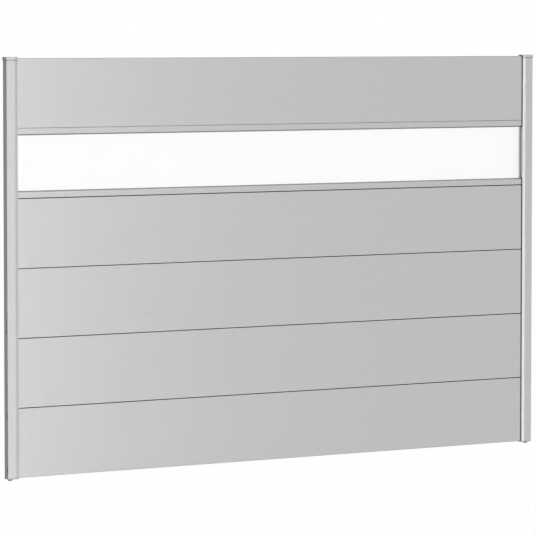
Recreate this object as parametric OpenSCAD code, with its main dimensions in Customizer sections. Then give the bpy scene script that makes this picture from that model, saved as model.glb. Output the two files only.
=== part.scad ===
// Metal privacy screen: one bay of hollow boards with a glazed course, between two slotted posts.
// X runs along the screen, Y from front to back, Z up. The origin is under the left foot, on the ground.

/* [Screen] */
// Clear width between the inner edges of the two posts
clear_w = 2680; // [900:10:3200]
// Height of one course, from joint to joint
course_h = 300; // [220:5:400]

/* [Posts] */
// Width of a post across its front
post_w = 54; // [46:1:70]
// Depth of a post, front to back
post_d = 36; // [34:1:60]
// Wall thickness of a post
post_wall = 1.6; // [1.2:0.1:1.8]
// Width of the flat part of a post's front, beside its sloping strip
post_flat_w = 40; // [36:1:44]
// How far the sloping strip falls back at the inner edge
strip_fall = 2; // [0.3:0.1:2.4]
// How far the front flange reaches past the outer side wall
flange_reach = 2.5; // [1:0.5:6]
// Depth of the slot that takes the ends of the boards
slot_depth = 17; // [14:1:20]
// Height of a post above the top of the boards
post_rise = 3.4; // [0.5:0.1:20]

/* [Side slots] */
// Width of the slotted holes in the outer side walls
hole_w = 7; // [5:0.5:9]
// Length of the slotted holes, end to end
hole_l = 17; // [12:0.5:24]
// Distance of the slotted holes from the front of the post
hole_y = 11.5; // [9:0.5:20]
// Height of the lowest slotted hole above the post's lower end
hole_low = 37.5; // [25:0.5:60]
// Distance from the lowest slotted hole up to the second
hole_low_step = 233; // [100:1:260]
// Height of the upper pair's lower hole above the post's lower end
hole_mid = 630.5; // [400:0.5:700]
// Distance between the two holes of the upper pair
hole_mid_step = 39.5; // [30:0.5:60]

/* [Boards] */
// Thickness of a board
board_t = 20; // [16:1:22]
// Wall thickness of a board
board_wall = 1.4; // [1:0.1:2]
// Number of ribs inside a board
board_ribs = 3; // [1:1:5]
// Open joint between two boards
joint_gap = 1.8; // [1:0.1:4]
// Open joint under the lower glazing rail
rail_joint = 2.2; // [1:0.1:4]
// Closed joint between the upper glazing rail and the top board
top_joint = 0.2; // [0:0.1:1]
// Chamfer along the edges of a board's faces
edge_chamfer = 1; // [0.3:0.1:1.2]
// Chamfer along the upper edges of the top board
top_chamfer = 1.8; // [0.5:0.1:2.5]
// Width of the tongue along a board's top
tongue_w = 6; // [5:0.5:9]
// How far a tongue enters the board above
tongue_in = 8; // [6:1:10]
// Play on each side of a tongue
tongue_play = 0.3; // [0.2:0.1:0.6]
// How far boards and glass enter a post's slot
slot_in = 14; // [8:1:14]

/* [Glazing] */
// Thickness of the glass
glass_t = 6; // [4:1:8]
// Height of the flat face of a glazing rail
rail_h = 25.5; // [22:0.5:36]
// Height of the sloping bead between a rail's face and the glass
bead_h = 4.8; // [2:0.1:6]
// Depth of a rail's channel for the glass
channel_d = 14; // [8:1:16]
// Wall thickness of a glazing rail
rail_wall = 1.8; // [1.4:0.1:2.4]
// Thickness of the gasket on each side of the glass
gasket_t = 1.5; // [1:0.1:2.5]
// Thickness of the gasket under the edge of the glass
gasket_bed = 2; // [1:0.5:2.5]
// How far a gasket stands out of its rail
gasket_out = 0.5; // [0:0.1:1.5]

/* [Seals] */
// Thickness of the seals between the lips of a post and the boards
seal_t = 2; // [1:0.5:3]
// Width of a seal
seal_w = 10; // [6:1:12]

/* [Caps and feet] */
// How far a cap stands out around its post
cap_over = 2; // [1.5:0.1:5]
// Full height of a cap
cap_h = 13.3; // [8:0.1:20]
// Thickness of a cap's top
cap_top = 2.5; // [2:0.5:4]
// Height of the round pad under a foot
pad_h = 7; // [3:0.5:15]
// Radius of the round pad under a foot
pad_r = 10; // [8:0.5:13]
// Thickness of a foot's plate, which the post and the boards stand on
plate_t = 4; // [2:0.5:8]
// Length of a foot's plug inside the post
plug_h = 20; // [10:1:25]
// Play around a foot's plug and inside a cap
fit_play = 0.3; // [0.2:0.1:0.6]

/* [Hidden] */
EPS = 0.01;
ROUND_FN = 48;
// Board courses below the glass, each with a node of its own
LOWER_COURSES = 4;

COAT = [0.79, 0.79, 0.79];
PLASTIC = [0.74, 0.74, 0.74];
RUBBER = [0.3, 0.3, 0.3];
FROSTED = [0.95, 0.96, 0.96, 0.6];

// Across the left post, measured from the outer edge of its front flange
slot_u = post_w - slot_depth;
foot_u = (flange_reach + slot_u) / 2;
slot_w = board_t + 2 * seal_t;
lip_d = (post_d - slot_w) / 2;
strip_slope = strip_fall / (post_w - post_flat_w);

// Along the screen, measured from the middle of the left foot
lip_left_x = post_w - foot_u;
lip_right_x = lip_left_x + clear_w;
right_foot_x = lip_right_x + lip_left_x;
board_x = lip_left_x - slot_in;
board_l = clear_w + 2 * slot_in;

// Heights
edge_gap = joint_gap / 2;
face_h = course_h - joint_gap;
post_z = pad_h + plate_t;
first_z = post_z - edge_gap;
glass_course_z = first_z + LOWER_COURSES * course_h;
top_course_z = glass_course_z + course_h;
boards_top_z = top_course_z + course_h - edge_gap;
post_top_z = boards_top_z + post_rise;

// Glazing, with each rail's section measured from its joint
channel_w = glass_t + 2 * gasket_t;
rail_full_h = rail_h + bead_h;
bed_z = rail_full_h - channel_d;
rail_groove = tongue_in + joint_gap - rail_joint;
rail_low_z = glass_course_z - edge_gap + rail_joint;
rail_high_z = top_course_z + edge_gap - top_joint;
sight_low_z = rail_low_z + rail_full_h;
sight_high_z = rail_high_z - rail_full_h;
glass_z = rail_low_z + bed_z + gasket_bed;
glass_top_z = rail_high_z - bed_z - gasket_bed;

// Runs a section drawn across Y and Z along X
module run_x(start, length) {
    translate([start, 0, 0]) rotate([90, 0, 90]) linear_extrude(length) children();
}

// Puts a piece of the left post at the left end, or mirrored at the right end
module at_end(right) {
    if (right) translate([right_foot_x, 0, 0]) mirror([1, 0, 0]) children();
    else children();
}

// Runs a section of the left post upwards from z, its middle over the foot
module run_up(z, height) {
    translate([-foot_u, -post_d / 2, z]) linear_extrude(height) children();
}

// Outline around a post, grown outwards; the front is at low y and the boards at high x
module outline(grow) {
    polygon([
        [-grow, -grow], [post_flat_w, -grow],
        [post_w + grow, strip_fall - grow], [post_w + grow, post_d - strip_fall + grow],
        [post_flat_w, post_d + grow], [flange_reach - grow, post_d + grow],
        [flange_reach - grow, post_wall + grow], [-grow, post_wall + grow]
    ]);
}

// Hollow inside the lip of a post, in front of the slot
module lip_hollow() {
    lip_u = post_w - post_wall;
    polygon([
        [slot_u, post_wall], [post_flat_w, post_wall],
        [lip_u, post_wall + strip_slope * (lip_u - post_flat_w)],
        [lip_u, lip_d - post_wall], [slot_u, lip_d - post_wall]
    ]);
}

module post_section() {
    difference() {
        outline(0);
        translate([slot_u, lip_d]) square([slot_depth + EPS, slot_w]);
        translate([flange_reach + post_wall, post_wall])
            square([slot_u - flange_reach - 2 * post_wall, post_d - 2 * post_wall]);
        lip_hollow();
        translate([0, post_d]) mirror([0, 1]) lip_hollow();
    }
}

// Cutter for a slotted hole through the outer side wall, lying along X
module side_slot() {
    reach = (hole_l - hole_w) / 2;
    rotate([0, 90, 0]) {
        for (end = [-reach, reach]) translate([end, 0, 0])
            cylinder(h = post_wall + 2, r = hole_w / 2, $fn = ROUND_FN);
        translate([-reach, -hole_w / 2, 0]) cube([2 * reach, hole_w, post_wall + 2]);
    }
}

module post_body() {
    difference() {
        run_up(post_z, post_top_z - post_z) post_section();
        for (z = [hole_low, hole_low + hole_low_step, hole_mid, hole_mid + hole_mid_step])
            translate([flange_reach - foot_u - 1, hole_y - post_d / 2, post_z + z]) side_slot();
    }
}

// Shallow lid whose skirt hangs around the top of the post, notched for the top board
module cap_body() {
    skirt_z = post_top_z + cap_top - cap_h;
    notch_w = slot_w + 2 * fit_play;
    difference() {
        run_up(skirt_z, cap_h) outline(cap_over);
        run_up(skirt_z - EPS, cap_h - cap_top + EPS) outline(fit_play);
        translate([lip_left_x, -notch_w / 2, skirt_z - EPS])
            cube([cap_over + 1, notch_w, boards_top_z + fit_play - skirt_z + EPS]);
    }
}

// Plate across the end of the post, with a plug inside it and a round pad below
module foot_body() {
    plug_w = slot_u - flange_reach - 2 * post_wall - 2 * fit_play;
    plug_d = post_d - 2 * post_wall - 2 * fit_play;
    cylinder(h = pad_h + EPS, r = pad_r, $fn = ROUND_FN);
    run_up(pad_h, plate_t) outline(0);
    translate([-plug_w / 2, -plug_d / 2, post_z - EPS]) cube([plug_w, plug_d, plug_h + EPS]);
}

// Rectangle across Y and Z with its corners cut off, less or more at the top
module chamfered(width, height, top_cut) {
    half = width / 2;
    cut = edge_chamfer;
    polygon([
        [-half + cut, 0], [half - cut, 0], [half, cut], [half, height - top_cut],
        [half - top_cut, height], [-half + top_cut, height], [-half, height - top_cut], [-half, cut]
    ]);
}

// Slot along the underside that takes the tongue of the piece below
module groove(depth) {
    width = tongue_w + 2 * tongue_play;
    translate([-width / 2, -EPS]) square([width, depth + EPS]);
}

module tongue(z, joint) {
    translate([-tongue_w / 2, z - EPS]) square([tongue_w, joint + tongue_in + EPS]);
}

// Section of a hollow board
module board_section(top) {
    hollow_z = tongue_in + board_wall;
    hollow_h = face_h - hollow_z - board_wall;
    cell_h = (hollow_h - board_ribs * board_wall) / (board_ribs + 1);
    difference() {
        union() {
            chamfered(board_t, face_h, top ? top_chamfer : edge_chamfer);
            if (!top) tongue(face_h, joint_gap);
        }
        groove(tongue_in);
        for (i = [0:board_ribs])
            translate([-board_t / 2 + board_wall, hollow_z + i * (cell_h + board_wall)])
                square([board_t - 2 * board_wall, cell_h]);
    }
}

module board(course, top = false) {
    color(COAT) translate([0, 0, first_z + course * course_h + edge_gap])
        run_x(board_x, board_l) board_section(top);
}

// Section of a glazing rail, its channel and sloping beads upwards
module rail_section(groove_d) {
    half = board_t / 2;
    cut = edge_chamfer;
    jaw = channel_w / 2;
    hollow_z = groove_d + rail_wall;
    difference() {
        polygon([
            [-half + cut, 0], [half - cut, 0], [half, cut], [half, rail_h], [jaw, rail_full_h],
            [-jaw, rail_full_h], [-half, rail_h], [-half, cut]
        ]);
        translate([-jaw, bed_z]) square([channel_w, channel_d + EPS]);
        translate([-half + rail_wall, hollow_z])
            square([board_t - 2 * rail_wall, bed_z - rail_wall - hollow_z]);
        if (groove_d > 0) groove(groove_d);
    }
}

module glazing_rail_lower() {
    color(COAT) translate([0, 0, rail_low_z]) run_x(board_x, board_l) rail_section(rail_groove);
}

module glazing_rail_upper() {
    color(COAT) translate([0, 0, rail_high_z]) run_x(board_x, board_l) {
        mirror([0, 1]) rail_section(0);
        tongue(0, top_joint);
    }
}

// Gasket around a long edge of the glass, its mouth upwards
module edge_gasket_section() {
    difference() {
        translate([-channel_w / 2, bed_z]) square([channel_w, channel_d + gasket_out]);
        translate([-glass_t / 2, bed_z + gasket_bed]) square([glass_t, channel_d + gasket_out]);
    }
}

module gasket_lower() {
    color(RUBBER) translate([0, 0, rail_low_z]) run_x(board_x, board_l) edge_gasket_section();
}

module gasket_upper() {
    color(RUBBER) translate([0, 0, rail_high_z])
        run_x(board_x, board_l) mirror([0, 1]) edge_gasket_section();
}

// Gasket around an upright edge of the glass, filling the post's slot
module side_gasket() {
    height = sight_high_z - sight_low_z - 2 * gasket_out;
    difference() {
        translate([board_x - gasket_bed, -slot_w / 2, sight_low_z + gasket_out])
            cube([slot_in + gasket_bed, slot_w, height]);
        translate([board_x, -glass_t / 2, sight_low_z]) cube([slot_in + 1, glass_t, height + 2]);
    }
}

module glass_pane() {
    color(FROSTED) translate([board_x, -glass_t / 2, glass_z])
        cube([board_l, glass_t, glass_top_z - glass_z]);
}

// Strips between the lip of a post and the faces of the boards, below and above the glass
module slot_seal(back) {
    for (span = [[post_z, sight_low_z], [sight_high_z, boards_top_z]])
        mirror([0, back ? 1 : 0, 0])
            translate([lip_left_x - seal_w, -slot_w / 2, span[0]])
                cube([seal_w, seal_t, span[1] - span[0]]);
}

module post_left() { color(COAT) at_end(false) post_body(); }
module post_right() { color(COAT) at_end(true) post_body(); }
module cap_left() { color(COAT) at_end(false) cap_body(); }
module cap_right() { color(COAT) at_end(true) cap_body(); }
module foot_left() { color(PLASTIC) at_end(false) foot_body(); }
module foot_right() { color(PLASTIC) at_end(true) foot_body(); }
module gasket_left() { color(PLASTIC) at_end(false) side_gasket(); }
module gasket_right() { color(PLASTIC) at_end(true) side_gasket(); }
module seal_left_front() { color(RUBBER) at_end(false) slot_seal(false); }
module seal_left_back() { color(RUBBER) at_end(false) slot_seal(true); }
module seal_right_front() { color(RUBBER) at_end(true) slot_seal(false); }
module seal_right_back() { color(RUBBER) at_end(true) slot_seal(true); }

post_left();
post_right();
cap_left();
cap_right();
foot_left();
foot_right();
board(0);  // board_1
board(1);  // board_2
board(2);  // board_3
board(3);  // board_4
board(LOWER_COURSES + 1, top = true);  // board_top
glazing_rail_lower();
glazing_rail_upper();
glass_pane();
gasket_lower();
gasket_upper();
gasket_left();
gasket_right();
seal_left_front();
seal_left_back();
seal_right_front();
seal_right_back();
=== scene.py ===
"""Metal privacy screen: coated hollow boards and a frosted pane, held between two slotted posts."""

import math

import bmesh
import bpy
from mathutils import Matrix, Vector


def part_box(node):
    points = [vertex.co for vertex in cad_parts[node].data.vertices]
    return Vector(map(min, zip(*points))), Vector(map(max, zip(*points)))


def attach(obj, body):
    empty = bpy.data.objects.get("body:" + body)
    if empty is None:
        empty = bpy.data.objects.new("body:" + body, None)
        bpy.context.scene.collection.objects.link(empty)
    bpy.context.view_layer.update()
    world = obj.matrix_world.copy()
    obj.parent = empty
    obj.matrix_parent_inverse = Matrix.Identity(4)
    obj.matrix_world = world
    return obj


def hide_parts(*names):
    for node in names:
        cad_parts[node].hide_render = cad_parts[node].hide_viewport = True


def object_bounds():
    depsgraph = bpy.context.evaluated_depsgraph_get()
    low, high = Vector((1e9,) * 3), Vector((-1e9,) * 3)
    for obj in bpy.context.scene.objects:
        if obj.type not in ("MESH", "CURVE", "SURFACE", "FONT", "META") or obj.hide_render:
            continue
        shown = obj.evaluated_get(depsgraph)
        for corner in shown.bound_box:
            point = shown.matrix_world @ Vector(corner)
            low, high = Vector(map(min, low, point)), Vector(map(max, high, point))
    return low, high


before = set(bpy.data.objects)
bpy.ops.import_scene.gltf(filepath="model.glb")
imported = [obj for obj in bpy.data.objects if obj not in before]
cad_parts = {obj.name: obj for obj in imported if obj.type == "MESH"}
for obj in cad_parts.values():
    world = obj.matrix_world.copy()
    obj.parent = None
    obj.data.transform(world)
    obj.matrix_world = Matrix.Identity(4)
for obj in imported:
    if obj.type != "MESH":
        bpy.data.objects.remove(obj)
cad_low, cad_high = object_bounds()

# ---------------------------------------------------------------- sizes, in metres

# Rounding of the edges
EASE_METAL = 0.0003
EASE_CAP = 0.0006
EASE_PLASTIC = 0.0005
EASE_RUBBER = 0.0004
EASE_GLASS = 0.0005
EASE_STEPS = 2
EASE_FROM = math.radians(20)   # a fold of less than this is left sharp

# Joining of loose corners and flat faces, and shading
SAME_CORNER = 0.000002
SAME_FACE = math.radians(0.4)
LARGE_FACE = 0.0004        # a face of more than this many square metres is shaded flat
LONG_FOLD = 0.05           # a fold longer than this stays crisp
ROUND_FOLD = math.radians(12)

# Screws up the outer side wall of a post
FLANGE_REACH = 0.0025      # from the post's outermost edge in to its side wall
SCREW_FROM_FRONT = 0.0115  # same line as the slotted holes
SCREW_HEIGHTS = (0.0700, 0.3860, 0.7020, 1.0475, 1.3906, 1.7345)  # above the post's lower end
SCREW_HEAD = 0.0062
SCREW_RISE = 0.0013
SCREW_KEY = 0.0030
SCREW_KEY_DEPTH = 0.0009

# Places painted dark as shade: the boards' open joints, the posts' chambers and the line under the
# caps
JOINT_START = 0.01000      # depth from the middle of a board at which its open joint begins
JOINT_BLEND = 0.0003
SCREEN_MIDDLE = 1.37425    # from the middle of the left post to the middle of the screen
CHAMBER_HALF_WIDTH = 0.0170
CHAMBER_HALF_DEPTH = 0.0164
CAP_LOWER_EDGE = 1.8017
# Painted shadow line under the cap's skirt
UNDER_CAP_SHADOW_START = 0.0028   # below the cap's lower edge
UNDER_CAP_SHADOW_FULL = 0.0012

CAMERA_PLACE = Vector((-7.7248, -14.0344, 1.9285))
CAMERA_YAW = math.radians(32.786)
CAMERA_PITCH = math.radians(3.631)
CAMERA_LENS = 251.65
CAMERA_SENSOR = 36.0
CAMERA_NEAR = 0.05
CAMERA_FAR = 200.0

FLOOR_HALF_SIZE = 60.0
PANEL_DISTANCE = 25.0
# Soft panels: name, degrees round from straight in front toward the right end, degrees up,
# width and height in metres, power in watts
PANELS = (
    ("front_right_panel", 18, -3, 3, 26, 843),
    ("front_right_soft_panel", 32, -3, 6, 26, 233),
    ("right_front_panel", 46, -3, 6, 26, 302),
    ("high_front_panel", 30, 55, 14, 8, 675),
    ("front_panel", 0, -3, 6, 26, 300),
    ("left_front_panel", -30, -3, 12, 26, 300),
    ("right_panel", 110, 5, 14, 24, 300),
    ("right_back_panel", 145, 5, 14, 24, 300),
    ("back_panel", 180, 5, 20, 24, 450),
)

# ---------------------------------------------------------------- colours

COAT_SILVER = (0.612, 0.612, 0.612)
COAT_FLAKE = (0.694, 0.694, 0.694)
COAT_CLOUD = (0.45, 0.45, 0.45)
SCREW_GREY = (0.47, 0.47, 0.47)
SCREW_FLAKE = (0.56, 0.56, 0.56)
BARE_ALUMINIUM = (0.80, 0.80, 0.80)
DUST = (0.48, 0.46, 0.43)
# Painted shade inside the boards' open joints and the posts' chambers
CAVITY_SHADE_DARK = (0.018, 0.018, 0.018)
# Painted shade in inner corners and gaps, under the caps and on what faces down
PAINTED_SHADE_DARK = (0.10, 0.10, 0.10)
FOOT_GREY = (0.880, 0.880, 0.880)
FOOT_BLOOM = (0.88, 0.88, 0.87)
SEAL_GREY = (0.400, 0.400, 0.400)
SEAL_BLOOM = (0.44, 0.44, 0.435)
GASKET_DARK = (0.10, 0.10, 0.10)
GASKET_BLOOM = (0.18, 0.18, 0.175)
SIDE_GASKET_PALE = (0.86, 0.86, 0.86)
SIDE_GASKET_BLOOM = (0.84, 0.84, 0.83)
GLASS_TINT = (0.997, 0.999, 0.998)
GLASS_MILK = (0.985, 0.990, 0.988)
FLOOR_DARK = (0.24, 0.24, 0.24)
FLOOR_LIGHT = (0.26, 0.26, 0.26)
WHITE = (1.0, 1.0, 1.0, 1.0)

# How strongly each effect shows on the coat
CLOUD_DEPTH = 0.03
RUN_DEPTH = 0.03
DUST_DEPTH = 0.16
RUB_DEPTH = 0.35
# Depths of painted shade: on what faces down, under the caps, in inner corners and gaps, and in the
# posts' corners
UNDERSIDE_SHADE_DEPTH = 0.40
UNDER_CAP_SHADOW_DEPTH = 0.85
CORNER_SHADE_DEPTH = 0.80
POST_CORNER_SHADE_DEPTH = 0.35

COAT_METALLIC = 0.80
COAT_ROUGHNESS = 0.27
COAT_PEEL = 0.00003        # height of the orange peel
MOULD_GRAIN = 0.00003
ETCH_GRAIN = 0.00002

WORLD_FILL = 0.35          # strength of the even light from all round
WORLD_IN_GLOSS = 0.0       # how much of the white backdrop the coat mirrors
FLOOR_GLOW = 1.09          # what the floor sends to the camera and through the glass
FLOOR_GLOW_SHARE = 0.90    # the rest of what the camera sees is the floor with its shadow

# ---------------------------------------------------------------- node helpers


def add(tree, kind, **settings):
    """A node of this kind, with its settings."""
    node = tree.nodes.new(kind)
    for name, value in settings.items():
        setattr(node, name, value)
    return node


def fill(node, **values):
    """Sets inputs by label, with underscores for the spaces in a label."""
    for label, value in values.items():
        node.inputs[label.replace("_", " ")].default_value = value
    return node


def new_group(name, kind, inputs, outputs):
    """An empty node group with named sockets; returns it with its input and output nodes."""
    group = bpy.data.node_groups.new(name, kind)
    for label, socket, value in inputs:
        item = group.interface.new_socket(name=label, in_out="INPUT", socket_type=socket)
        if value is not None:
            item.default_value = value
    for label, socket in outputs:
        group.interface.new_socket(name=label, in_out="OUTPUT", socket_type=socket)
    return group, group.nodes.new("NodeGroupInput"), group.nodes.new("NodeGroupOutput")


def place_group(tree, group, **values):
    """A shared effect, placed with its own values."""
    node = tree.nodes.new("ShaderNodeGroup")
    node.node_tree = group
    return fill(node, **values)


def math_node(tree, operation, first, second=0.0):
    """One sum; each side is a number or a socket."""
    node = add(tree, "ShaderNodeMath", operation=operation)
    for socket, value in zip(node.inputs, (first, second)):
        if isinstance(value, (int, float)):
            socket.default_value = value
        else:
            tree.links.new(value, socket)
    return node.outputs[0]


def noise(tree, vector, scale, detail=2.0, roughness=0.5):
    """Noise with this many patches per metre; the scale is a number or a socket."""
    node = fill(add(tree, "ShaderNodeTexNoise"), Detail=detail, Roughness=roughness)
    tree.links.new(vector, node.inputs["Vector"])
    if isinstance(scale, (int, float)):
        node.inputs["Scale"].default_value = scale
    else:
        tree.links.new(scale, node.inputs["Scale"])
    return node.outputs["Fac"]


def object_place(tree):
    """The place on the part, in metres from its origin."""
    return add(tree, "ShaderNodeTexCoord").outputs["Object"]


def along(tree, axis):
    """The place on the part along one axis, in metres."""
    parts = add(tree, "ShaderNodeSeparateXYZ")
    tree.links.new(object_place(tree), parts.inputs["Vector"])
    return parts.outputs[axis]


def away(tree, value, middle=0.0):
    """Distance of a value from its middle."""
    return math_node(tree, "ABSOLUTE", math_node(tree, "SUBTRACT", value, middle))


def ramp(tree, value, low, high, out_low=0.0, out_high=1.0):
    """Maps low..high to out_low..out_high, held at both ends."""
    node = add(tree, "ShaderNodeMapRange")
    fill(node, From_Min=low, From_Max=high, To_Min=out_low, To_Max=out_high)
    tree.links.new(value, node.inputs["Value"])
    return node.outputs["Result"]


def blend_colour(tree, amount, first, second):
    """Mixes two colours; each is a colour or a socket. Sockets 6, 7 and 2 carry the colours."""
    node = add(tree, "ShaderNodeMix", data_type="RGBA")
    tree.links.new(amount, node.inputs["Factor"])
    for index, value in ((6, first), (7, second)):
        if isinstance(value, tuple):
            node.inputs[index].default_value = (*value, 1.0)
        else:
            tree.links.new(value, node.inputs[index])
    return node.outputs[2]


# ---------------------------------------------------------------- shared effects


def coat_texture_group():
    """Orange peel of a sprayed coat, its fine flakes and its slow clouding."""
    group, start, end = new_group(
        "coat_texture", "ShaderNodeTree",
        [("Peel per metre", "NodeSocketFloat", 450.0),
         ("Flakes per metre", "NodeSocketFloat", 2600.0),
         ("Flake height", "NodeSocketFloat", 0.08),
         ("Clouds per metre", "NodeSocketFloat", 2.3)],
        [("Height", "NodeSocketFloat"), ("Flakes", "NodeSocketFloat"),
         ("Clouds", "NodeSocketFloat")],
    )
    place = object_place(group)
    peel = noise(group, place, start.outputs["Peel per metre"], 2.0, 0.45)
    flakes = add(group, "ShaderNodeTexVoronoi", feature="F1")
    group.links.new(place, flakes.inputs["Vector"])
    group.links.new(start.outputs["Flakes per metre"], flakes.inputs["Scale"])
    parts = add(group, "ShaderNodeSeparateColor")
    group.links.new(flakes.outputs["Color"], parts.inputs["Color"])
    fine = math_node(group, "MULTIPLY", parts.outputs["Red"], start.outputs["Flake height"])
    group.links.new(math_node(group, "ADD", peel, fine), end.inputs["Height"])
    group.links.new(parts.outputs["Green"], end.inputs["Flakes"])
    clouds = noise(group, place, start.outputs["Clouds per metre"], 3.0)
    group.links.new(clouds, end.inputs["Clouds"])
    return group


def edge_wear_group():
    """Mask of the outer edges, broken up as hands and rain wear them."""
    group, start, end = new_group(
        "edge_wear", "ShaderNodeTree",
        [("Radius", "NodeSocketFloat", 0.0008), ("Patches per metre", "NodeSocketFloat", 28.0)],
        [("Mask", "NodeSocketFloat")],
    )
    rounded = add(group, "ShaderNodeBevel", samples=4)
    group.links.new(start.outputs["Radius"], rounded.inputs["Radius"])
    across = add(group, "ShaderNodeVectorMath", operation="DOT_PRODUCT")
    group.links.new(rounded.outputs["Normal"], across.inputs[0])
    group.links.new(add(group, "ShaderNodeNewGeometry").outputs["Normal"], across.inputs[1])
    edge = ramp(group, across.outputs["Value"], 0.985, 0.80)
    patches = noise(group, object_place(group), start.outputs["Patches per metre"], 4.0, 0.6)
    broken = ramp(group, patches, 0.42, 0.68)
    group.links.new(math_node(group, "MULTIPLY", edge, broken), end.inputs["Mask"])
    return group


def weather_and_underside_shade_group():
    """Dust on what faces up, faint upright runs left by rain, and painted shade on what faces down.
    """
    group, start, end = new_group(
        "weather_and_shade", "ShaderNodeTree",
        [("Dust patches per metre", "NodeSocketFloat", 60.0),
         ("Runs per metre across", "NodeSocketFloat", 38.0),
         ("Runs per metre upright", "NodeSocketFloat", 1.1)],
        [("Dust", "NodeSocketFloat"), ("Runs", "NodeSocketFloat"), ("Underside shade", "NodeSocketFloat")],
    )
    place = object_place(group)
    parts = add(group, "ShaderNodeSeparateXYZ")
    group.links.new(add(group, "ShaderNodeNewGeometry").outputs["Normal"], parts.inputs["Vector"])
    upward = ramp(group, parts.outputs["Z"], 0.35, 0.9)
    # Painted shade: surfaces facing down are darkened
    group.links.new(ramp(group, parts.outputs["Z"], -0.45, -0.70), end.inputs["Underside shade"])
    patches = noise(group, place, start.outputs["Dust patches per metre"], 5.0, 0.65)
    settled = ramp(group, patches, 0.3, 0.75)
    group.links.new(math_node(group, "MULTIPLY", upward, settled), end.inputs["Dust"])
    scale = add(group, "ShaderNodeCombineXYZ")
    for axis in ("X", "Y"):
        group.links.new(start.outputs["Runs per metre across"], scale.inputs[axis])
    group.links.new(start.outputs["Runs per metre upright"], scale.inputs["Z"])
    stretched = add(group, "ShaderNodeVectorMath", operation="MULTIPLY")
    group.links.new(place, stretched.inputs[0])
    group.links.new(scale.outputs["Vector"], stretched.inputs[1])
    runs = noise(group, stretched.outputs["Vector"], 1.0, 3.0, 0.55)
    group.links.new(ramp(group, runs, 0.5, 0.8), end.inputs["Runs"])
    return group


def moulded_grain_group():
    """Fine matt grain of moulded plastic and rubber."""
    group, start, end = new_group(
        "moulded_grain", "ShaderNodeTree",
        [("Grain per metre", "NodeSocketFloat", 1800.0),
         ("Bloom patches per metre", "NodeSocketFloat", 45.0)],
        [("Height", "NodeSocketFloat"), ("Bloom", "NodeSocketFloat")],
    )
    place = object_place(group)
    grain = noise(group, place, start.outputs["Grain per metre"], 3.0, 0.6)
    group.links.new(grain, end.inputs["Height"])
    bloom = noise(group, place, start.outputs["Bloom patches per metre"], 4.0, 0.6)
    group.links.new(ramp(group, bloom, 0.35, 0.75), end.inputs["Bloom"])
    return group


def ambient_shade_group():
    """Mask of narrow gaps and inner corners from ambient occlusion, for painted shade there."""
    group, start, end = new_group(
        "painted_ambient_shade", "ShaderNodeTree", [("Reach", "NodeSocketFloat", 0.005)],
        [("Mask", "NodeSocketFloat")],
    )
    open_sky = add(group, "ShaderNodeAmbientOcclusion", samples=6)
    group.links.new(start.outputs["Reach"], open_sky.inputs["Distance"])
    group.links.new(ramp(group, open_sky.outputs["AO"], 0.97, 0.35), end.inputs["Mask"])
    return group


COAT_TEXTURE = coat_texture_group()
AMBIENT_SHADE = ambient_shade_group()
EDGE_WEAR = edge_wear_group()
WEATHER_AND_UNDERSIDE_SHADE = weather_and_underside_shade_group()
MOULDED_GRAIN = moulded_grain_group()

# ---------------------------------------------------------------- materials


def new_material(name):
    """A new material, with its node tree and its shader."""
    material = bpy.data.materials.new(name)
    material.use_nodes = True
    return material, material.node_tree, material.node_tree.nodes["Principled BSDF"]


def bump(tree, shader, height, distance):
    """Fine relief of this height in metres."""
    node = fill(add(tree, "ShaderNodeBump"), Distance=distance, Strength=1.0)
    tree.links.new(height, node.inputs["Height"])
    tree.links.new(node.outputs["Normal"], shader.inputs["Normal"])


def joint_shade(tree):
    """Mask of the tongues and lands behind a board's faces, painted dark as the shade in the open
    joints.
    """
    return ramp(tree, away(tree, along(tree, "Y")), JOINT_START, JOINT_START - JOINT_BLEND)


def chamber_shade(tree):
    """Mask of the walls of a post's chamber behind the slotted holes, painted dark as shade."""
    from_middle = away(tree, along(tree, "X"), SCREEN_MIDDLE)
    from_post = away(tree, from_middle, SCREEN_MIDDLE)
    across = ramp(tree, from_post, CHAMBER_HALF_WIDTH + 0.0001, CHAMBER_HALF_WIDTH - 0.0001)
    deep = ramp(
        tree, away(tree, along(tree, "Y")),
        CHAMBER_HALF_DEPTH + 0.00005, CHAMBER_HALF_DEPTH - 0.00005)
    return math_node(tree, "MULTIPLY", across, deep)


def shadow_under_cap(tree):
    """Mask of the painted shadow line under a cap's skirt."""
    return ramp(
        tree, along(tree, "Z"), CAP_LOWER_EDGE - UNDER_CAP_SHADOW_START, CAP_LOWER_EDGE - UNDER_CAP_SHADOW_FULL)


def tint(tree, colour, mask, depth, other):
    """Blends another colour in where a mask is, to a depth."""
    return blend_colour(tree, math_node(tree, "MULTIPLY", mask, depth), colour, other)


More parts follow.
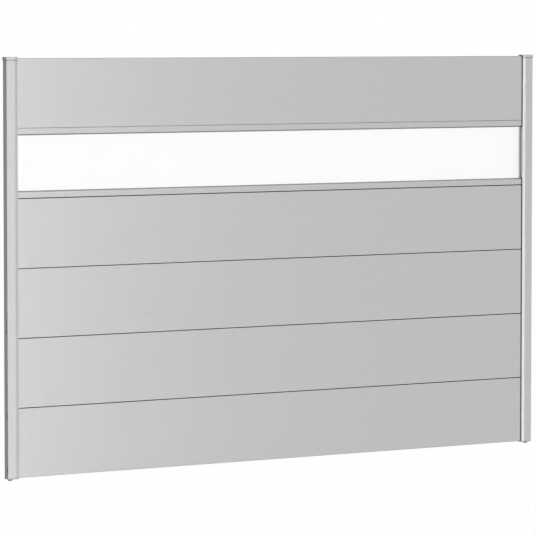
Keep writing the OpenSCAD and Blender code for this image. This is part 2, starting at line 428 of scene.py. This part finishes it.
def coated_metal(name, colour, flake, metallic, roughness, corner_shade_amount=CORNER_SHADE_DEPTH, shade_masks=()):
    """Silver satin coat on aluminium: flakes, orange peel, dust above, lighter where edges rub,
    with painted shade in inner corners, gaps and on what faces down.
    Shade_masks lists further masks of painted shade, each with its depth and the colour it shows."""
    material, tree, shader = new_material(name)
    fill(shader, Metallic=metallic)
    texture = place_group(
        tree, COAT_TEXTURE, Peel_per_metre=450.0, Flakes_per_metre=2600.0, Flake_height=0.08,
        Clouds_per_metre=2.3)
    wear = place_group(tree, EDGE_WEAR, Radius=0.0008, Patches_per_metre=28.0)
    weather_and_shade = place_group(
        tree, WEATHER_AND_UNDERSIDE_SHADE, Dust_patches_per_metre=60.0, Runs_per_metre_across=38.0,
        Runs_per_metre_upright=1.1)
    ambient_shade_node = place_group(tree, AMBIENT_SHADE, Reach=0.005)
    coat = blend_colour(tree, ramp(tree, texture.outputs["Flakes"], 0.55, 1.0), colour, flake)
    clouds = ramp(tree, texture.outputs["Clouds"], 0.3, 0.8, 0.0, CLOUD_DEPTH)
    coat = blend_colour(tree, clouds, coat, COAT_CLOUD)
    coat = tint(tree, coat, weather_and_shade.outputs["Runs"], RUN_DEPTH, DUST)
    coat = tint(tree, coat, weather_and_shade.outputs["Dust"], DUST_DEPTH, DUST)
    coat = tint(tree, coat, wear.outputs["Mask"], RUB_DEPTH, BARE_ALUMINIUM)
    # Painted shade: inner corners and narrow gaps darkened by ambient occlusion
    coat = tint(tree, coat, ambient_shade_node.outputs["Mask"], corner_shade_amount, PAINTED_SHADE_DARK)
    # Painted shade on surfaces facing down
    coat = tint(tree, coat, weather_and_shade.outputs["Underside shade"], UNDERSIDE_SHADE_DEPTH, PAINTED_SHADE_DARK)
    for mask, depth, shown in shade_masks:
        coat = tint(tree, coat, mask(tree), depth, shown)
    tree.links.new(coat, shader.inputs["Base Color"])
    satin = ramp(
        tree, texture.outputs["Clouds"], 0.25, 0.75, roughness - 0.008, roughness + 0.008)
    flaked = math_node(
        tree, "ADD", satin, ramp(tree, texture.outputs["Flakes"], 0.6, 1.0, 0.01, -0.03))
    dulled = math_node(
        tree, "ADD", flaked, math_node(tree, "MULTIPLY", weather_and_shade.outputs["Dust"], 0.12))
    tree.links.new(dulled, shader.inputs["Roughness"])
    bump(tree, shader, texture.outputs["Height"], COAT_PEEL)
    return material


def moulded(name, colour, bloom, grain, roughness):
    """Moulded rubber or plastic: fine grain, with a faint grey bloom in patches."""
    material, tree, shader = new_material(name)
    texture = place_group(
        tree, MOULDED_GRAIN, Grain_per_metre=grain, Bloom_patches_per_metre=45.0)
    weather_and_shade = place_group(
        tree, WEATHER_AND_UNDERSIDE_SHADE, Dust_patches_per_metre=60.0, Runs_per_metre_across=38.0,
        Runs_per_metre_upright=1.1)
    skin = tint(tree, colour, texture.outputs["Bloom"], 0.30, bloom)
    skin = tint(tree, skin, weather_and_shade.outputs["Dust"], 0.30, DUST)
    tree.links.new(skin, shader.inputs["Base Color"])
    tree.links.new(
        ramp(tree, texture.outputs["Bloom"], 0.0, 1.0, roughness, roughness + 0.12),
        shader.inputs["Roughness"])
    bump(tree, shader, texture.outputs["Height"], MOULD_GRAIN)
    return material


def frosted_glass():
    """Toughened pane, smooth in front and acid-etched on its back."""
    material, tree, shader = new_material("frosted_glass")
    fill(shader, Transmission_Weight=1.0, IOR=1.5)
    place = object_place(tree)
    back = ramp(tree, along(tree, "Y"), -0.0005, 0.0005)
    etch = noise(tree, place, 3200.0, 2.0, 0.6)
    milk = noise(tree, place, 14.0, 4.0, 0.6)
    body = blend_colour(tree, ramp(tree, milk, 0.3, 0.8), GLASS_TINT, GLASS_MILK)
    tree.links.new(body, shader.inputs["Base Color"])
    etched = math_node(tree, "MULTIPLY", back, ramp(tree, etch, 0.3, 0.7, 0.42, 0.56))
    tree.links.new(math_node(tree, "ADD", etched, 0.03), shader.inputs["Roughness"])
    bump(tree, shader, math_node(tree, "MULTIPLY", back, etch), ETCH_GRAIN)
    return material


def silver_coat(name, corner_shade_amount=CORNER_SHADE_DEPTH, shade_masks=()):
    """The coat of the boards, rails, posts and caps."""
    return coated_metal(
        name, COAT_SILVER, COAT_FLAKE, COAT_METALLIC, COAT_ROUGHNESS, corner_shade_amount, shade_masks)


def screw_paint():
    """Painted screw heads, a little darker than the coat around them."""
    return coated_metal("screw_paint", SCREW_GREY, SCREW_FLAKE, 0.6, 0.42)


COATED = silver_coat("coated_metal")
# Painted shade: the boards' open joints and the posts' chambers go near black, and the posts get a
# painted shadow line under the caps
BOARDED = silver_coat("coated_board", shade_masks=((joint_shade, 1.0, CAVITY_SHADE_DARK),))
POSTED = silver_coat("coated_post", POST_CORNER_SHADE_DEPTH, shade_masks=(
    (shadow_under_cap, UNDER_CAP_SHADOW_DEPTH, PAINTED_SHADE_DARK), (chamber_shade, 1.0, CAVITY_SHADE_DARK)))
CAPPED = silver_coat("cap_metal")
PLASTIC = moulded("foot_plastic", FOOT_GREY, FOOT_BLOOM, 1500.0, 0.46)
GASKET = moulded("gasket_rubber", GASKET_DARK, GASKET_BLOOM, 2200.0, 0.62)
SIDE_GASKET = moulded("side_gasket_rubber", SIDE_GASKET_PALE, SIDE_GASKET_BLOOM, 2200.0, 0.60)
SEAL = moulded("seal_rubber", SEAL_GREY, SEAL_BLOOM, 2200.0, 0.66)
FROSTED = frosted_glass()
SCREW = screw_paint()

# Which finish a node takes: start of its name, rounding of its edges, material, slot
FINISHES = (
    ("cap", EASE_CAP, CAPPED, "cap_metal"),
    ("foot", EASE_PLASTIC, PLASTIC, "foot_plastic"),
    ("gasket_left", EASE_RUBBER, SIDE_GASKET, "side_gasket_rubber"),
    ("gasket_right", EASE_RUBBER, SIDE_GASKET, "side_gasket_rubber"),
    ("gasket", EASE_RUBBER, GASKET, "gasket_rubber"),
    ("seal", EASE_RUBBER, SEAL, "seal_rubber"),
    ("glass_pane", EASE_GLASS, FROSTED, "frosted_glass"),
    ("board_top", EASE_METAL, COATED, "coated_metal"),
    ("board", EASE_METAL, BOARDED, "coated_metal"),
    ("post", EASE_METAL, POSTED, "coated_metal"),
    ("glazing_rail", EASE_METAL, COATED, "coated_metal"),
)

# ---------------------------------------------------------------- pieces made from the nodes


def merged(node):
    """The node's mesh with its corners joined and its flat faces whole again."""
    shape = bmesh.new()
    shape.from_mesh(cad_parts[node].data)
    bmesh.ops.remove_doubles(shape, verts=shape.verts, dist=SAME_CORNER)
    bmesh.ops.dissolve_limit(
        shape, angle_limit=SAME_FACE, verts=shape.verts, edges=shape.edges)
    mesh = bpy.data.meshes.new(node + "_merged")
    shape.to_mesh(mesh)
    shape.free()
    return mesh


def plain_mesh(piece, name):
    """The piece's mesh with its modifiers worked in."""
    bpy.context.view_layer.update()
    evaluated = piece.evaluated_get(bpy.context.evaluated_depsgraph_get())
    mesh = bpy.data.meshes.new_from_object(evaluated)
    mesh.name = name
    return mesh


def shade(mesh):
    """Rounds the shading over small facets, as on a drum; large faces and long folds stay flat."""
    shape = bmesh.new()
    shape.from_mesh(mesh)
    for face in shape.faces:
        face.smooth = face.calc_area() < LARGE_FACE
    for edge in shape.edges:
        turn = edge.calc_face_angle(math.pi)
        edge.smooth = turn < ROUND_FOLD and edge.calc_length() < LONG_FOLD
    shape.to_mesh(mesh)
    shape.free()


def finish_node(node, ease, material):
    """Stands an eased, finished copy in for a node."""
    piece = bpy.data.objects.new(node + "_finished", merged(node))
    bpy.context.scene.collection.objects.link(piece)
    easing = piece.modifiers.new("eased_edges", "BEVEL")
    easing.width = ease
    easing.segments = EASE_STEPS
    easing.limit_method = "ANGLE"
    easing.angle_limit = EASE_FROM
    mesh = plain_mesh(piece, node + "_finished")
    piece.modifiers.clear()
    piece.data = mesh
    shade(mesh)
    mesh.materials.clear()
    mesh.materials.append(material)
    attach(piece, "root")
    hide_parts(node)
    return piece


def finish_all_nodes():
    for node in sorted(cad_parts):
        ease, material, slot = next(row[1:] for row in FINISHES if node.startswith(row[0]))
        finish_node(node, ease, material)


# ---------------------------------------------------------------- screws up the outer sides


def screw_tree():
    """Domed screw heads with a hexagonal key recess, one on each given place."""
    tree, start, end = new_group(
        "screws_up_a_post", "GeometryNodeTree",
        [("Places", "NodeSocketGeometry", None), ("Head", "NodeSocketFloat", SCREW_HEAD),
         ("Rise", "NodeSocketFloat", SCREW_RISE), ("Key", "NodeSocketFloat", SCREW_KEY),
         ("Key depth", "NodeSocketFloat", SCREW_KEY_DEPTH),
         ("Facing", "NodeSocketVector", (0, 0, 0)),
         ("Finish", "NodeSocketMaterial", None)],
        [("Screws", "NodeSocketGeometry")],
    )
    radius = math_node(tree, "MULTIPLY", start.outputs["Head"], 0.5)
    ball = add(tree, "GeometryNodeMeshUVSphere")
    fill(ball, Segments=32, Rings=12)
    tree.links.new(radius, ball.inputs["Radius"])
    flatten = add(tree, "ShaderNodeCombineXYZ")
    fill(flatten, X=1.0, Y=1.0)
    tree.links.new(
        math_node(tree, "DIVIDE", start.outputs["Rise"], radius), flatten.inputs["Z"])
    dome = add(tree, "GeometryNodeTransform")
    tree.links.new(ball.outputs["Mesh"], dome.inputs["Geometry"])
    tree.links.new(flatten.outputs["Vector"], dome.inputs["Scale"])
    key = add(tree, "GeometryNodeMeshCylinder")
    key.inputs["Vertices"].default_value = 6
    corner = math_node(tree, "MULTIPLY", start.outputs["Key"], 0.577)
    tree.links.new(corner, key.inputs["Radius"])
    both_ways = math_node(tree, "MULTIPLY", start.outputs["Key depth"], 2.0)
    tree.links.new(both_ways, key.inputs["Depth"])
    lift = add(tree, "ShaderNodeCombineXYZ")
    tree.links.new(start.outputs["Rise"], lift.inputs["Z"])
    raised = add(tree, "GeometryNodeTransform")
    tree.links.new(key.outputs["Mesh"], raised.inputs["Geometry"])
    tree.links.new(lift.outputs["Vector"], raised.inputs["Translation"])
    head = add(tree, "GeometryNodeMeshBoolean", operation="DIFFERENCE")
    tree.links.new(dome.outputs["Geometry"], head.inputs["Mesh 1"])
    tree.links.new(raised.outputs["Geometry"], head.inputs["Mesh 2"])
    spin = add(tree, "FunctionNodeRandomValue", data_type="FLOAT")
    spin.inputs[3].default_value = math.tau  # the largest turn
    spin.inputs["Seed"].default_value = 7
    turn = add(tree, "ShaderNodeCombineXYZ")
    tree.links.new(spin.outputs[1], turn.inputs["Z"])
    place = add(tree, "GeometryNodeInstanceOnPoints")
    tree.links.new(start.outputs["Places"], place.inputs["Points"])
    tree.links.new(head.outputs["Mesh"], place.inputs["Instance"])
    tree.links.new(start.outputs["Facing"], place.inputs["Rotation"])
    rotate = add(tree, "GeometryNodeRotateInstances")
    tree.links.new(place.outputs["Instances"], rotate.inputs["Instances"])
    tree.links.new(turn.outputs["Vector"], rotate.inputs["Rotation"])
    realize = add(tree, "GeometryNodeRealizeInstances")
    tree.links.new(rotate.outputs["Instances"], realize.inputs["Geometry"])
    finish = add(tree, "GeometryNodeSetMaterial")
    tree.links.new(realize.outputs["Geometry"], finish.inputs["Geometry"])
    tree.links.new(start.outputs["Finish"], finish.inputs["Material"])
    tree.links.new(finish.outputs["Geometry"], end.inputs["Screws"])
    return tree


def set_input(modifier, label, value):
    """Sets a modifier's input by its label, through the socket's identifier."""
    for item in modifier.node_group.interface.items_tree:
        if item.item_type == "SOCKET" and item.in_out == "INPUT" and item.name == label:
            modifier[item.identifier] = value


def side_screws(tree, post, side):
    """Screws up a post's outer side wall; side is -1 at the left end and 1 at the right."""
    low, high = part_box(post)
    wall_x = low.x + FLANGE_REACH if side < 0 else high.x - FLANGE_REACH
    places = bpy.data.meshes.new(post + "_screw_places")
    places.from_pydata(
        [(wall_x, low.y + SCREW_FROM_FRONT, low.z + height) for height in SCREW_HEIGHTS], [], [])
    piece = bpy.data.objects.new(post + "_side_screws", places)
    bpy.context.scene.collection.objects.link(piece)
    modifier = piece.modifiers.new("screws", "NODES")
    modifier.node_group = tree
    set_input(modifier, "Facing", (0.0, side * math.pi / 2, 0.0))
    set_input(modifier, "Finish", SCREW)
    mesh = plain_mesh(piece, piece.name)
    piece.modifiers.clear()
    piece.data = mesh
    shade(mesh)
    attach(piece, "root")
    return piece


# ---------------------------------------------------------------- floor, light and camera


def floor_material():
    """Pale studio floor: white to the eye, and it keeps a soft shadow of the screen."""
    material, tree, shader = new_material("studio_floor")
    fill(shader, Roughness=0.9)
    tone = ramp(tree, noise(tree, object_place(tree), 9.0, 3.0), 0.3, 0.7)
    tree.links.new(
        blend_colour(tree, tone, FLOOR_DARK, FLOOR_LIGHT), shader.inputs["Base Color"])
    white = fill(add(tree, "ShaderNodeEmission"), Color=WHITE, Strength=FLOOR_GLOW)
    path = add(tree, "ShaderNodeLightPath")
    seen = math_node(tree, "MULTIPLY", path.outputs["Is Camera Ray"], FLOOR_GLOW_SHARE)
    mix = add(tree, "ShaderNodeMixShader")
    tree.links.new(
        math_node(tree, "MAXIMUM", seen, path.outputs["Is Transmission Ray"]), mix.inputs["Fac"])
    tree.links.new(shader.outputs["BSDF"], mix.inputs[1])
    tree.links.new(white.outputs["Emission"], mix.inputs[2])
    tree.links.new(mix.outputs["Shader"], tree.nodes["Material Output"].inputs["Surface"])
    return material


def make_floor():
    """The floor takes the screen's shadow, and is left out of reflections in the coat."""
    mesh = bpy.data.meshes.new("studio_floor")
    shape = bmesh.new()
    bmesh.ops.create_grid(shape, x_segments=8, y_segments=8, size=FLOOR_HALF_SIZE)
    shape.to_mesh(mesh)
    shape.free()
    mesh.materials.append(floor_material())
    floor = bpy.data.objects.new("studio_floor", mesh)
    bpy.context.scene.collection.objects.link(floor)
    floor.visible_glossy = False
    floor.visible_shadow = False


def make_world():
    """Even fill for the light, and a white backdrop for what is seen."""
    world = bpy.data.worlds.new("studio")
    world.use_nodes = True
    bpy.context.scene.world = world
    tree = world.node_tree
    fill_light = fill(tree.nodes["Background"], Color=WHITE, Strength=WORLD_FILL)
    backdrop = fill(add(tree, "ShaderNodeBackground"), Color=WHITE, Strength=1.0)
    path = add(tree, "ShaderNodeLightPath")
    seen = math_node(
        tree, "MAXIMUM", path.outputs["Is Camera Ray"], path.outputs["Is Transmission Ray"])
    gloss = math_node(tree, "MULTIPLY", path.outputs["Is Glossy Ray"], WORLD_IN_GLOSS)
    mix = add(tree, "ShaderNodeMixShader")
    tree.links.new(math_node(tree, "MAXIMUM", seen, gloss), mix.inputs["Fac"])
    tree.links.new(fill_light.outputs["Background"], mix.inputs[1])
    tree.links.new(backdrop.outputs["Background"], mix.inputs[2])
    tree.links.new(mix.outputs["Shader"], tree.nodes["World Output"].inputs["Surface"])


def panel(name, azimuth, elevation, width, height, power):
    """A soft panel lamp, facing the middle of the screen from afar."""
    middle = (cad_low + cad_high) / 2
    turn, rise = math.radians(azimuth), math.radians(elevation)
    outward = Vector((
        math.sin(turn) * math.cos(rise), -math.cos(turn) * math.cos(rise), math.sin(rise)))
    data = bpy.data.lights.new(name, "AREA")
    data.shape = "RECTANGLE"
    data.size = width
    data.size_y = height
    data.energy = power
    lamp = bpy.data.objects.new(name, data)
    lamp.location = middle + outward * PANEL_DISTANCE
    lamp.rotation_euler = outward.to_track_quat("Z", "Y").to_euler()
    lamp.visible_camera = False
    lamp.visible_transmission = False
    bpy.context.scene.collection.objects.link(lamp)


def make_lamps():
    """The brighter panels stand to the right of straight in front, so the coat's tone falls off
    to the right and the folded strips of the posts stand out."""
    for row in PANELS:
        panel(*row)


def make_camera():
    """Long lens at eye height, from the front and the left."""
    data = bpy.data.cameras.new("camera")
    data.lens = CAMERA_LENS
    data.sensor_width = CAMERA_SENSOR
    data.clip_start = CAMERA_NEAR
    data.clip_end = CAMERA_FAR
    camera = bpy.data.objects.new("camera", data)
    camera.location = CAMERA_PLACE
    camera.rotation_euler = (math.pi / 2 - CAMERA_PITCH, 0.0, -CAMERA_YAW)
    bpy.context.scene.collection.objects.link(camera)
    bpy.context.scene.camera = camera


bpy.context.scene.view_settings.view_transform = "Standard"
make_camera()
finish_all_nodes()
SCREWS = screw_tree()
side_screws(SCREWS, "post_left", -1)
side_screws(SCREWS, "post_right", 1)
make_floor()
make_world()
make_lamps()
